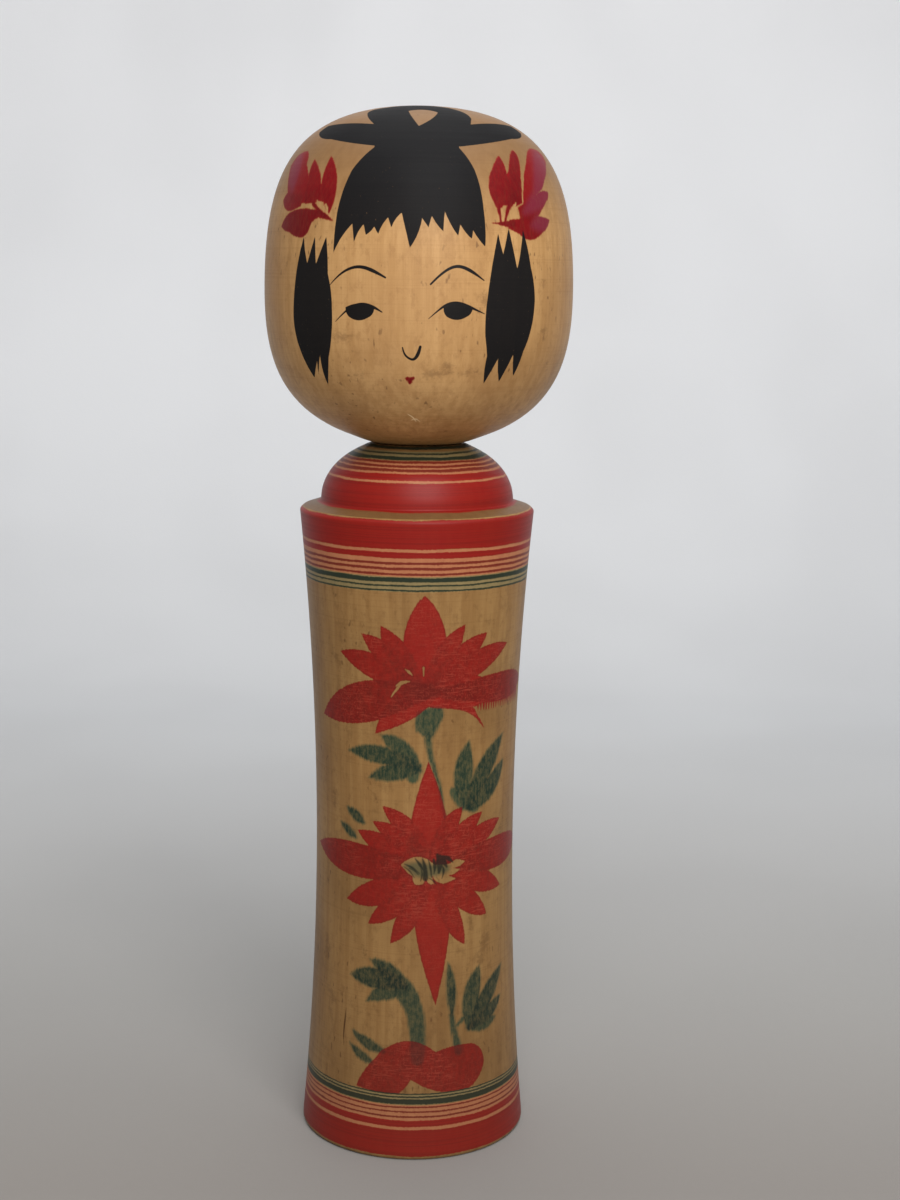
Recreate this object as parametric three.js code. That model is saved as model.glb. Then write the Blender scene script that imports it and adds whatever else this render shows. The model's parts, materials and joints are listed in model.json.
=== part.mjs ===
// A turned wooden doll whose head swivels: a waisted body with a stepped, domed shoulder, and a
// round head turned in one with its neck peg. The peg swells into a bulb below the neck. It was
// forced through the narrower mouth of the body's socket while the body spun on the lathe, and
// snapped into the wider chamber below, so the head can't be pulled off but turns with a squeak.
//
// Millimetres, +Z up. The origin is on the turning axis, in the plane of the base, and the
// painted face looks along -Y. Every shape is a profile of (radius, height) points, turned
// about Z.

import * as THREE from "three";

// Body: the painted side, from the base up to the rim of the shoulder.
const baseRadius = 27;
const waistRadius = 23.7; // halfway up the side
const rimRadius = 27.5;
const rimHeight = 150.7;
const baseEdge = 1; // rounding where the side meets the base
const rimEdge = 0.8; // bevel left unpainted round the rim

// Shoulder: a ledge that falls a little towards the rim, and a dome that stands on it.
const ledgeWidth = 4.1;
const ledgeRise = 1.3; // from the ledge's outer edge to the foot of the dome
const domeRise = 15; // to the dome's crown, before it is cut flat for the head
const domeRoundness = 2.1; // exponent: 2 is an ellipse, and more is squarer

// Head: it widens quickly above the seat, and is fuller at the crown than at the chin.
const headRadius = 35.55;
const headSeatRadius = 10.2; // the ring on which the head sits
const headWidestRise = 34.2; // from the seat to the widest place
const crownRise = 41.9; // from there to the top
const chinSlope = 14; // degrees at which the underside leaves the seat

// How full the head is: the share of each stretch that its outline runs on before it turns.
const chinSpread = 0.83; // outwards from the seat
const chinSide = 0.51; // down from the widest place
const crownSide = 0.64; // up from the widest place
const crownTop = 0.825; // outwards from the top

// Swivel: the head's peg in the body's socket.
const seatGap = 0.3; // between the head's underside and the flat that it sits on
const seatMargin = 0.6; // the flat on the dome reaches this much past the head's ring
const neckRadius = 8;
const neckLength = 5; // the straight neck, before the peg swells into its bulb
const bulbOverhang = 1.1; // how much wider the bulb is than the neck, all round
const bulbSwell = 3; // height over which it swells
const bulbLength = 2.5; // the bulb's widest, straight stretch
const tipLength = 5.5; // below the bulb, where the peg narrows so that it enters the mouth
const tipTaper = 2.1; // how much narrower the peg's end is than the bulb, all round
const swivelGap = 0.25; // all round, between the peg and the socket
const socketTipGap = 0.5; // under the end of the peg
const socketCone = 1.2; // depth of the centre that the boring tool leaves

// How finely round shapes are divided.
const turns = 48; // flats round the axis
const sideSteps = 12;
const domeSteps = 8;
const crownSteps = 14;
const chinSteps = 12;
const edgeSteps = 3;

// The sizes that follow from these.
const ledgeHeight = rimHeight + rimEdge;
const ledgeRadius = rimRadius - rimEdge;
const domeRadius = ledgeRadius - ledgeWidth;
const domeFoot = ledgeHeight + ledgeRise;
const flatRadius = headSeatRadius + seatMargin;
const bulbRadius = neckRadius + bulbOverhang;

const point = (radius, height) => new THREE.Vector2(radius, height);

// The height that the dome's full rise is multiplied by at a given radius: a superellipse.
function domeShare(radius) {
  return (1 - (radius / domeRadius) ** domeRoundness) ** (1 / domeRoundness);
}

function turned(name, profile, material) {
  const geometry = new THREE.LatheGeometry(profile, turns);
  geometry.rotateX(Math.PI / 2); // LatheGeometry turns about Y
  const mesh = new THREE.Mesh(geometry, material);
  mesh.name = name;
  return mesh;
}

// The places that both pieces share.
const flatHeight = domeFoot + domeRise * domeShare(flatRadius);
const headSeat = flatHeight + seatGap;
const swellTop = headSeat - neckLength;
const bulbTop = swellTop - bulbSwell;
const bulbFoot = bulbTop - bulbLength;
const pegTip = bulbFoot - tipLength;

// The body's side is one parabola, from the base through the waist to the rim.
function sideCurve() {
  const waistControl = 2 * waistRadius - (baseRadius + rimRadius) / 2;
  return new THREE.QuadraticBezierCurve(
    point(baseRadius, baseEdge),
    point(waistControl, (baseEdge + rimHeight) / 2),
    point(rimRadius, rimHeight),
  );
}

// The dome, from its foot to the flat. Even steps of angle follow the curve more evenly than
// steps of height would.
function domeProfile() {
  const flatAngle = Math.acos((flatRadius / domeRadius) ** (domeRoundness / 2));
  const points = [];
  for (let i = 0; i <= domeSteps; i++) {
    const angle = (flatAngle * i) / domeSteps;
    const radius = domeRadius * Math.cos(angle) ** (2 / domeRoundness);
    points.push(point(radius, domeFoot + domeRise * domeShare(radius)));
  }
  return points;
}

// The socket, from its mouth down to its floor. The chamber is the bulb's outline moved outwards
// by the swivel gap, and it keeps its full width down to the floor.
function socketProfile() {
  const mouth = neckRadius + swivelGap;
  const chamber = bulbRadius + swivelGap;
  const floor = pegTip - socketTipGap;
  return [
    point(mouth, flatHeight),
    point(mouth, swellTop),
    point(chamber, bulbTop),
    point(chamber, floor),
    point(0, floor - socketCone),
  ];
}

function bodyProfile() {
  const baseRounding = new THREE.QuadraticBezierCurve(
    point(baseRadius - baseEdge, 0),
    point(baseRadius, 0),
    point(baseRadius, baseEdge),
  );
  return [
    point(0, 0),
    ...baseRounding.getPoints(edgeSteps),
    ...sideCurve().getPoints(sideSteps).slice(1),
    point(ledgeRadius, ledgeHeight),
    ...domeProfile(),
    ...socketProfile(),
  ];
}

// The peg, from its tip up to the head's seat.
function pegProfile() {
  return [
    point(0, pegTip),
    point(bulbRadius - tipTaper, pegTip),
    point(bulbRadius, bulbFoot),
    point(bulbRadius, bulbTop),
    point(neckRadius, swellTop),
    point(neckRadius, headSeat),
  ];
}

// The underside and cheeks, from the seat's ring up to the widest place.
function chinCurve() {
  const widest = headSeat + headWidestRise;
  const spread = chinSpread * (headRadius - headSeatRadius);
  const slope = THREE.MathUtils.degToRad(chinSlope);
  return new THREE.CubicBezierCurve(
    point(headSeatRadius, headSeat),
    point(
      headSeatRadius + spread * Math.cos(slope),
      headSeat + spread * Math.sin(slope),
    ),
    point(headRadius, widest - chinSide * headWidestRise),
    point(headRadius, widest),
  );
}

// The crown, from the widest place up to the top.
function crownCurve() {
  const widest = headSeat + headWidestRise;
  const top = widest + crownRise;
  return new THREE.CubicBezierCurve(
    point(headRadius, widest),
    point(headRadius, widest + crownSide * crownRise),
    point(crownTop * headRadius, top),
    point(0, top),
  );
}

function headProfile() {
  return [
    ...pegProfile(),
    ...chinCurve().getPoints(chinSteps),
    ...crownCurve().getPoints(crownSteps).slice(1),
  ];
}

const waxedWood = new THREE.MeshStandardMaterial({
  color: 0xc9995c,
  roughness: 0.42,
  metalness: 0,
});

const doll = new THREE.Group();
doll.add(turned("body", bodyProfile(), waxedWood));
doll.add(turned("head", headProfile(), waxedWood));

export default doll;
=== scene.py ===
"""A turned and painted wooden doll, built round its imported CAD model.

The two turned pieces are rebuilt as fine surfaces of revolution on the CAD model's own outlines.
Everything painted is a list of strokes and patches, in millimetres on the unrolled wood. The
mesh is refined round their edges and carries the distance to them, and the materials turn that
distance into ink and dye which soaks into the grain.

Lengths are in millimetres, except for the finished meshes and the stage, which are in metres.
"""

import json
import math

import bpy
import numpy as np
from mathutils import Matrix, Vector

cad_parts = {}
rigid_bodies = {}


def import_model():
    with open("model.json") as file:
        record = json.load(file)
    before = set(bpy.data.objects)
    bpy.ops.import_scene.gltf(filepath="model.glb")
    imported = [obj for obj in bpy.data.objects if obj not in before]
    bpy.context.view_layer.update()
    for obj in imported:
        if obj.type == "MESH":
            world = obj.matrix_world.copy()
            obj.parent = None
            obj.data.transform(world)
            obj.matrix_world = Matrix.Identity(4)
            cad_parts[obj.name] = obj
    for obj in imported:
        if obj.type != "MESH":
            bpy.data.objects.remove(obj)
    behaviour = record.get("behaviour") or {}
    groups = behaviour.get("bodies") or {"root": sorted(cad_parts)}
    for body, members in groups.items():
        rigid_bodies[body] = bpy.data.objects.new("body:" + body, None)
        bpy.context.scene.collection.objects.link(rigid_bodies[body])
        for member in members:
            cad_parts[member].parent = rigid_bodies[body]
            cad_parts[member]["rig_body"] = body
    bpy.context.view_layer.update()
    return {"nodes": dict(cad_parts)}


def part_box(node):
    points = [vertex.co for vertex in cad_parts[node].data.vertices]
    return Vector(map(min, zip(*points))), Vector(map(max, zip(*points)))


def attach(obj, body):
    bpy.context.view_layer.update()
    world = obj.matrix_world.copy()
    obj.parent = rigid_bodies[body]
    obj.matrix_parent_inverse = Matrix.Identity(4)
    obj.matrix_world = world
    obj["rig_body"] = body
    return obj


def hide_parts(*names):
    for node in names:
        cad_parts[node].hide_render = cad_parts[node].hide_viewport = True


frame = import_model()
MM = 0.001

# --- Curves ---


class Spline:
    """A natural cubic curve through points, measured along the straight lines between them."""

    def __init__(self, points):
        self.points = np.asarray(points, float)
        steps = np.hypot(*np.diff(self.points, axis=0).T)
        self.knots = np.r_[0, np.cumsum(steps)]
        self.length = self.knots[-1]
        count = len(self.points)
        system = np.eye(count)
        right = np.zeros((count, 2))
        for i in range(1, count - 1):
            before, after = steps[i - 1], steps[i]
            system[i, i - 1 : i + 2] = before, 2 * (before + after), after
            rise = (self.points[i + 1] - self.points[i]) / after
            right[i] = 6 * (rise - (self.points[i] - self.points[i - 1]) / before)
        self.bends = np.linalg.solve(system, right)

    def at(self, distance):
        """Points on the curve and its direction there."""
        i = np.clip(np.searchsorted(self.knots, distance) - 1, 0, len(self.knots) - 2)
        width = (self.knots[i + 1] - self.knots[i])[:, None]
        b = (distance - self.knots[i])[:, None] / width
        a = 1 - b
        p, q = self.points[i], self.points[i + 1]
        m, n = self.bends[i], self.bends[i + 1]
        place = a * p + b * q + ((a**3 - a) * m + (b**3 - b) * n) * width**2 / 6
        slope = (q - p) / width + ((3 * b**2 - 1) * n - (3 * a**2 - 1) * m) * width / 6
        return place, slope


# --- Brush strokes ---

FAR = 3.0  # distances are measured only this near a mark
ARC_STEP = 0.6
SPINE_STEPS = 22
ROOT_WIDTH = 0.35  # a petal's width at its root, as a share of its widest
DYE_EDGE = 0.6  # the width over which dye thins out at a mark's edge
CROSSING = 0.12  # the share of its dye that a second stroke leaves over a first


def beside(points, start, step):
    """How far along a straight step each point is, from 0 to 1, and how far away from it."""
    along = np.clip((points - start) @ step / (step @ step), 0, 1)
    off = points - start - along[:, None] * step
    return along, np.hypot(off[:, 0], off[:, 1])


class Mark:
    """Something painted, and the box round it in which distances are measured."""

    def __init__(self, path, tone, reach=FAR):
        self.path, self.tone = path, tone
        self.low, self.high = path.min(0) - reach, path.max(0) + reach

    def distance(self, points):
        """From each point to the mark's edge, negative inside, and FAR where it is further."""
        near = ((points > self.low) & (points < self.high)).all(1)
        result = np.full(len(points), FAR)
        result[near] = self.measure(points[near])
        return result


class Stroke(Mark):
    """A brush's path and half the width of its mark along it. A width of 0 is a pointed end."""

    def __init__(self, path, widths, tone):
        super().__init__(path, tone, widths.max() + FAR)
        self.widths = widths

    def measure(self, points):
        best = np.full(len(points), FAR)
        for i in range(len(self.path) - 1):
            along, away = beside(points, self.path[i], self.path[i + 1] - self.path[i])
            width = self.widths[i] + along * (self.widths[i + 1] - self.widths[i])
            best = np.minimum(best, away - width)
        return best


class Patch(Mark):
    """A filled outline."""

    def measure(self, points):
        best = np.full(len(points), FAR)
        inside = np.zeros(len(points), bool)
        for start, end in zip(self.path, np.roll(self.path, -1, axis=0)):
            step = end - start
            best = np.minimum(best, beside(points, start, step)[1])
            spans = (start[1] > points[:, 1]) != (end[1] > points[:, 1])
            rise = step[1] if step[1] else 1.0
            crossing = start[0] + (points[:, 1] - start[1]) * step[0] / rise
            inside ^= spans & (points[:, 0] < crossing)
        return np.where(inside, -best, best)


def line(*points, tone=1.0):
    """A stroke through points (x, y, half its width there)."""
    *places, widths = np.transpose(points)
    curve = Spline(np.transpose(places))
    along = np.linspace(0, curve.length, SPINE_STEPS + 1)
    return Stroke(curve.at(along)[0], np.interp(along, curve.knots, widths), tone)


def petal(root, tip, width, bend=0.0, belly=0.5, point=2.2, tone=1.0):
    """A pressed stroke, widest (half its width) at belly, a share of the way from root to tip.

    bend is how far its middle swings to the left, as a share of its length. From the belly it
    narrows to its tip as 1 - u ** point: 1 is straight-sided, and more is fuller.
    """
    root, tip = np.array(root, float), np.array(tip, float)
    t = np.linspace(0, 1, SPINE_STEPS + 1)
    swing = np.array([root[1] - tip[1], tip[0] - root[0]]) * bend
    path = root + t[:, None] * (tip - root) + 4 * (t * (1 - t))[:, None] * swing
    u = np.clip((t - belly) / (1 - belly), 0, 1)
    rising = np.sin(np.clip(t / belly, 0, 1) * math.pi / 2)
    half = width * np.where(t < belly, ROOT_WIDTH + (1 - ROOT_WIDTH) * rising, 1 - u**point)
    return Stroke(path, half, tone)


def patch(*corners, tone=1.0):
    """A filled outline through corners (x, y), or (x, y, swell) where an arc leads to the next
    corner: swell is the arc's height as a share of its chord, positive outwards."""
    places = np.array([c[:2] for c in corners], float)
    following = np.roll(places, -1, axis=0)
    turn = np.sum(places[:, 0] * following[:, 1] - following[:, 0] * places[:, 1])
    outline = []
    for corner, start, end in zip(corners, places, following):
        swell = (corner[2] if len(corner) > 2 else 0.0) * (1 if turn < 0 else -1)
        chord = end - start
        count = max(1, round(float(np.hypot(*chord)) / ARC_STEP)) if swell else 1
        t = np.linspace(0, 1, count, endpoint=False)[:, None]
        side = np.array([-chord[1], chord[0]])
        outline.append(start + t * chord + 4 * t * (1 - t) * swell * side)
    return Patch(np.vstack(outline), tone)


def edge_distance(marks, points):
    """To the edge of everything that the marks cover, negative inside."""
    return np.min([mark.distance(points) for mark in marks], axis=0)


def dye_depth(marks, points):
    """How much dye lies at each point: that of the deepest mark there, and a little of the rest."""
    deepest = np.zeros(len(points))
    total = np.zeros(len(points))
    for mark in marks:
        cover = mark.tone * np.clip(0.5 - mark.distance(points) / DYE_EDGE, 0, 1)
        deepest = np.maximum(deepest, cover)
        total += cover
    return deepest + CROSSING * (total - deepest)


# --- What is painted on the body: x round the wood from the front, y up from the base ---

UPPER_FLOWER = [
    petal((2, 111), (-8, 127.1), 2.8),
    petal((2, 111), (-12.8, 124.9), 2.8, -0.04),
    petal((2, 111), (-19, 120), 3, -0.06),
    petal((2, 111), (11.2, 127.3), 2.6, 0.03),
    petal((3, 111), (17.4, 124.9), 2.7, 0.05),
    petal((4, 111), (24.7, 121.5), 2.9, 0.06),
    petal((2.2, 112), (1.8, 134.3), 5, 0, 0.42, 2, 0.8),
    petal((3, 112), (-26.9, 103.8), 4.8, -0.035, 0.5, 1.9, 1.25),
    petal((6, 113), (-9.8, 101.6), 3.3, -0.06, 0.45, 1.7, 0.9),
    petal((5, 111.6), (35.6, 111.3), 3.5, 0, 0.6, 2.4, 1.3),
    line((-3, 113, 3), (5, 112.2, 4.2), (14, 111.4, 3.8), tone=0.3),
    line((7, 109.5, 1.6), (13, 107.5, 1.1), (15.4, 105.2, 0.4), (17.7, 102.3, 0.05)),
]
UPPER_FLOWER += [  # where the right petal bled along the grain, by uneven lengths
    line((x, 109.5, 0.5), (x + 0.1, 107.4 - abs(math.sin(3.7 * x)), 0.12), tone=0.4)
    for x in np.arange(15.5, 33, 0.85)
]
MIDDLE_FLOWER = [
    petal((4, 71), (-8.1, 84.7), 2.5, -0.07),
    petal((4, 71), (-10.5, 80.8), 2.4, -0.05),
    petal((4, 71), (-14.8, 78.2), 2.7),
    petal((4, 71), (11.9, 84.2), 2.5, 0.05),
    petal((5, 71), (18, 82.2), 2.4, 0.04),
    petal((6, 71), (24.8, 79.4), 2.7, 0.03),
    petal((4, 70), (-18.1, 61), 3.3, 0.03),
    petal((4, 70), (-11.6, 56.1), 2.8, 0.03),
    petal((4, 69), (-5.7, 52), 2.7, 0.03),
    petal((5, 69), (13, 50.9), 2.6, -0.03),
    petal((6, 69), (19.8, 57.1), 2.8, -0.03),
    petal((6, 70), (25.4, 62.9), 2.9),
    petal((4, 70), (-31.5, 71.8), 4.1, 0, 0.55, 2, 1.2),
    petal((6, 71), (38, 71.8), 3.9, 0, 0.55, 2.2, 1.2),
    petal((3.8, 70), (3.2, 95.5), 4.9, 0, 0.28, 1.5, 0.8),
    petal((4, 70), (5.3, 37.1), 4.4, 0, 0.4, 1.35, 0.8),
]
FLOWER_HEART = [patch(
    (-3.3, 71, 0.05), (-0.4, 72.8, 0.1), (3, 72.4), (5, 71), (8.4, 70.8), (10.3, 71.8, 0.05),
    (12.9, 71.1, 0.12), (9, 69.9), (11.6, 69.4, 0.1), (8.4, 68.2), (10.4, 67.2, 0.02),
    (7.6, 66.3, 0.15), (4.4, 68.3), (4.8, 66.3, 0.2), (2.7, 68), (2.2, 66.5, 0.1), (0.2, 66.4, 0.1),
    (-0.4, 68.3, 0.05),
)]
UPPER_SLITS = [
    line((-5.7, 110.6, 0.1), (-4.2, 112.7, 0.3), (-3.4, 113.6, 0.1)),
    line((-4.6, 113.2, 0.1), (-3.2, 114, 0.45), (-1.4, 114.4, 0.15)),
    line((-2.4, 117.2, 0.1), (-1.6, 116.6, 0.35), (-0.8, 115.8, 0.1)),
    line((1.7, 117.6, 0.25), (1.75, 115.7, 0.1)),
]
FOOT_CLOUD = [
    patch(
        (-13.6, 16.5, 0.06), (-8, 25, 0.25), (5.3, 25.9, 0.07), (14.8, 26.6, 0.16), (18.1, 21.5, 0.12),
        (13.5, 16), (7, 16.1, 0.05), (-0.4, 19.4, 0.04), (-3.2, 16, 0.03), tone=1.15,
    ),
    line((-8, 18, 2), (-5, 23.5, 3.6), (2, 24.2, 2.6), tone=0.3),
]
LEAVES = [
    petal((1, 94.5), (-17.3, 96.8), 2.2, -0.06, 0.5, 2.2, 0.9),
    petal((0.8, 93.5), (-8.4, 101.5), 2.2, -0.08, 0.5, 2, 0.8),
    petal((1, 93.5), (-11.5, 91.1), 2.2, -0.05, 0.45, 2, 0.9),
    line((-5, 96, 1.6), (-1.2, 94.4, 2.4), (-0.6, 92, 1.6), tone=0.4),
    petal((12.4, 84.5), (13.4, 100), 2.7, 0.05, 0.45, 1.9, 0.9),
    petal((13.5, 84), (25.3, 100), 2.6, 0.05, 0.5, 2),
    petal((14, 83.5), (25.8, 93.7), 2.4, -0.06, 0.5, 2),
    line((9.6, 88, 1.2), (12.5, 85.6, 2.2), (15.5, 84, 1.6), tone=0.5),
    petal((-12.9, 80.2), (-18.2, 83.3), 1.3, 0, 0.4, 2),
    petal((-15.3, 76.3), (-20.4, 79.3), 1.1, 0, 0.4, 2),
    petal((-2, 42.5), (-11, 47.7), 1.9, -0.04, 0.45, 2),
    petal((-2, 42), (-16.4, 43), 2.6, -0.05, 0.5, 2),
    petal((-1.5, 41), (-11.6, 37.3), 2, -0.1, 0.45, 1.8, 0.8),
    line((-8, 44, 2.2), (-3, 41.6, 2.7), (0.2, 36, 2.1), (1, 24.6, 1.7), tone=0.8),
    petal((9.3, 34), (8.4, 47.2), 1.3, -0.03, 0.5, 2),
    petal((14, 30.8), (17.3, 45.2), 2.5, 0.06, 0.5, 2, 0.9),
    petal((14, 30.5), (25.9, 43.4), 2.3, 0.02, 0.5, 2),
    petal((14, 30.5), (25.3, 36), 1.9, -0.03, 0.5, 1.8),
    petal((13.5, 30.8), (22.9, 31.3), 1.7, -0.04, 0.5, 1.8, 0.8),
    petal((-6.8, 25.9), (-15.5, 29.8), 1.4, 0.05, 0.4, 1.8, 0.9),
    petal((-9.6, 22.8), (-16.1, 26.6), 1.1, 0.05, 0.4, 1.8, 0.9),
]
STEMS = [
    patch(
        (0.4, 107.2, 0.1), (6.2, 108.3, 0.15), (5.8, 104.6, 0.02), (3.9, 100.6, 0.05), (0.2, 102.8, 0.06),
        tone=0.8,
    ),
    line((3, 101.5, 1), (3.6, 97, 0.65), (5.6, 90.7, 0.45), (7.2, 82.2, 0.3), tone=0.8),
    line((9.2, 34.5, 0.7), (10, 30, 0.8), (11, 25.6, 1.1), tone=0.8),
    line((9.8, 31.2, 0.45), (11.2, 32.2, 0.45), (13, 33.6, 0.6), tone=0.6),
]
HEART_WASH = [line((-1.6, 70.8, 0.7), (1, 70, 2), (3.4, 69.6, 1.8), (8, 69.8, 0.9))]
STAMENS = [
    line((-2.4, 71.2, 0.1), (-0.6, 70.4, 0.32), (1.2, 69, 0.1)),
    line((-1.2, 70.2, 0.1), (0.2, 69.6, 0.25), (0.9, 68.8, 0.1)),
    line((0.2, 72.5, 0.15), (1.4, 71, 0.4), (2.4, 69.4, 0.2)),
    line((2, 72.4, 0.2), (2.5, 70.6, 0.5), (2.7, 67.8, 0.7)),
    line((3.4, 72.2, 0.15), (3.9, 70.4, 0.3), (4.2, 68, 0.15)),
    line((4.7, 72.2, 0.3), (5, 70.6, 0.5), (4.8, 68.8, 0.1)),
    line((5.6, 73.3, 0.35), (6.2, 71.4, 1), (6, 69, 0.3)),
    line((6.2, 73, 0.4), (7.2, 71.6, 0.8), (8, 70.3, 0.25)),
    line((3.4, 67.9, 0.1), (4.8, 67, 0.2), (5.4, 66.2, 0.1)),
    line((6.4, 72.9, 0.3), (8.4, 72.2, 0.6), (9.6, 71.2, 0.15)),
    line((6.8, 70.8, 0.15), (7.2, 69.4, 0.35), (6.8, 67.6, 0.1)),
    line((1.6, 70.2, 0.12), (1.9, 68.6, 0.25), (1.5, 67.2, 0.1)),
    line((-2.6, 70.6, 0.06), (-1.2, 69.6, 0.2), (0, 68, 0.1)),
]
BODY_STAINS = [
    line((19.6, 51.4, 1.1), (17.6, 46, 0.7)),
    line((-26, 50, 0.6), (-25.4, 46, 0.9)),
    line((-22.6, 85.6, 0.4), (-22.2, 83, 0.6)),
    line((-10, 87.6, 0.5), (-9.7, 86.4, 0.3)),
    line((14, 60, 0.3), (15, 55, 0.5)),
    line((-13, 50.5, 0.3), (-12.4, 48, 0.3)),
    line((25, 77, 0.3), (26, 73, 0.6)),
    line((-21, 119, 0.5), (-19.5, 116.4, 0.4)),
    line((-24, 38, 0.4), (-22, 35.5, 0.8)),
]
CRACK = [line((-17.5, 34.4, 0.05), (-17.8, 31, 0.2), (-18, 27.5, 0.14), (-17.7, 25, 0.04))]

# --- What is painted on the head: x round it from the face's middle, y up from its widest place ---

FRINGE = [patch(
    (-10.4, 34), (-10.4, 32, 0.04), (-15, 26.3, 0.03), (-17.2, 17, 0.01), (-17.5, 8.2, -0.05),
    (-13.1, 14.5), (-12.5, 10.5, -0.06), (-10.4, 14.4), (-9.8, 12.1, 0.06), (-7.9, 13.9),
    (-7, 12.3, -0.05), (-4.9, 15.9), (-4.1, 13.6, -0.08), (-1.9, 16.9), (0, 9.5, 0.06), (2.6, 15.8),
    (4, 13.8), (4.7, 16.3, 0.04), (7.2, 13), (7.6, 17.4, 0.04), (10.5, 12.1), (11, 14.6, 0.05),
    (13.6, 11.5), (13.9, 13.4, 0.04), (16.7, 9.9, 0.02), (16.7, 18, 0.03), (15.6, 26.6, 0.04),
    (12.6, 32), (12.6, 34),
)]
SIDE_LOCKS = [
    patch(
        (-26.3, 11.9, -0.03), (-24.8, 6), (-22.8, 11.9), (-22.2, 5.8), (-19.6, 11.8, 0.02),
        (-18.8, 3.9, 0.04), (-17.7, -3.5, 0.03), (-18.3, -10, 0.03), (-19.6, -14, 0.02),
        (-21.9, -20.9, 0.04), (-22.1, -13.8, -0.02), (-24.1, -19.1), (-23.4, -15.2), (-25.8, -19.3, 0.03),
        (-28.6, -12.5, 0.06), (-29.4, -3, 0.03),
    ),
    patch(
        (20, 12.9, -0.02), (21.1, 8.4), (22.8, 14), (24.8, 5.2, -0.02), (26.8, 13.8, 0.02),
        (28.9, 5.5, 0.04), (30.2, -1.5, 0.05), (27.9, -12.6, 0.02), (26.4, -18.3, 0.04), (25, -13.1),
        (22.5, -19.5, 0.05), (20.9, -14), (18.3, -19.9, 0.05), (17.9, -13.5), (17, -9, 0.03),
        (17.2, -0.8, 0.02),
    ),
]
FACE_LINES = [
    line((-18.4, 1.3, 0.07), (-14.8, 4.3, 0.25), (-11.1, 5.4, 0.35), (-8.2, 4.7, 0.4), (-5.2, 3.2, 0.2)),
    line((4.5, 1.9, 0.2), (7.1, 4.3, 0.26), (10.2, 5.7, 0.34), (13.2, 4.8, 0.38), (16.3, 2.8, 0.12)),
    line(
        (-16.9, -6.3, 0.06), (-14.7, -4.4, 0.18), (-12.3, -2.9, 0.32), (-10.1, -2.5, 0.36),
        (-7.5, -3.2, 0.3), (-5.9, -4.1, 0.12),
    ),
    line(
        (4.1, -5.4, 0.06), (6.2, -3.6, 0.18), (8, -2.4, 0.3), (10.1, -2, 0.34), (13.5, -3, 0.3),
        (16.6, -4.3, 0.08),
    ),
    line(
        (-1.5, -11.6, 0.14), (-1, -13.1, 0.22), (0, -14, 0.24), (0.8, -14.2, 0.28), (1.8, -13.2, 0.4),
        (2.4, -11.4, 0.3),
    ),
]
IRISES = [
    patch((-14.3, -3.2, 0.12), (-13.5, -5.2, 0.15), (-9.2, -5.4, 0.15), (-7.6, -3.4, 0.14)),
    patch((7.3, -3, 0.12), (8, -4.9, 0.15), (12.3, -5, 0.15), (13.8, -3.1, 0.14)),
]
MOUTH = [
    petal((0.1, -18.9), (-1, -18.5), 0.5, 0, 0.4),
    petal((0.1, -18.9), (1.1, -18.4), 0.5, 0, 0.4),
    petal((0.1, -18.6), (0, -19.9), 0.6, 0, 0.4),
]
HEAD_STAINS = [
    line((-17, -9.7, 0.7), (-13.6, -9.4, 0.5)),
    line((16.3, -0.4, 0.7), (16.7, -1.9, 0.6)),
    line((4.4, -17.6, 0.8), (9.2, -16.7, 0.6)),
    line((8.2, -15.3, 0.4), (9.2, -15.9, 0.3)),
    line((12, -17.4, 0.3), (16, -17, 0.2)),
    line((-14.4, -18.2, 0.2), (-11.4, -17.9, 0.3)),
    line((34.2, -8.2, 0.5), (34.8, -9.8, 0.4)),
    line((38.2, -15.6, 0.4), (38.8, -16.8, 0.3)),
    line((32.8, 2.8, 0.3), (33.2, 1.8, 0.3)),
    line((-28.6, -11.4, 0.3), (-26.8, -11.9, 0.4)),
]
CHIN_SCRATCHES = [
    line((-0.9, -28.5, 0.12), (0.5, -29.6, 0.22), (1.4, -31.2, 0.12)),
    line((0, -30.6, 0.1), (1.4, -30.2, 0.2), (2.6, -31.2, 0.1)),
]
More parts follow.
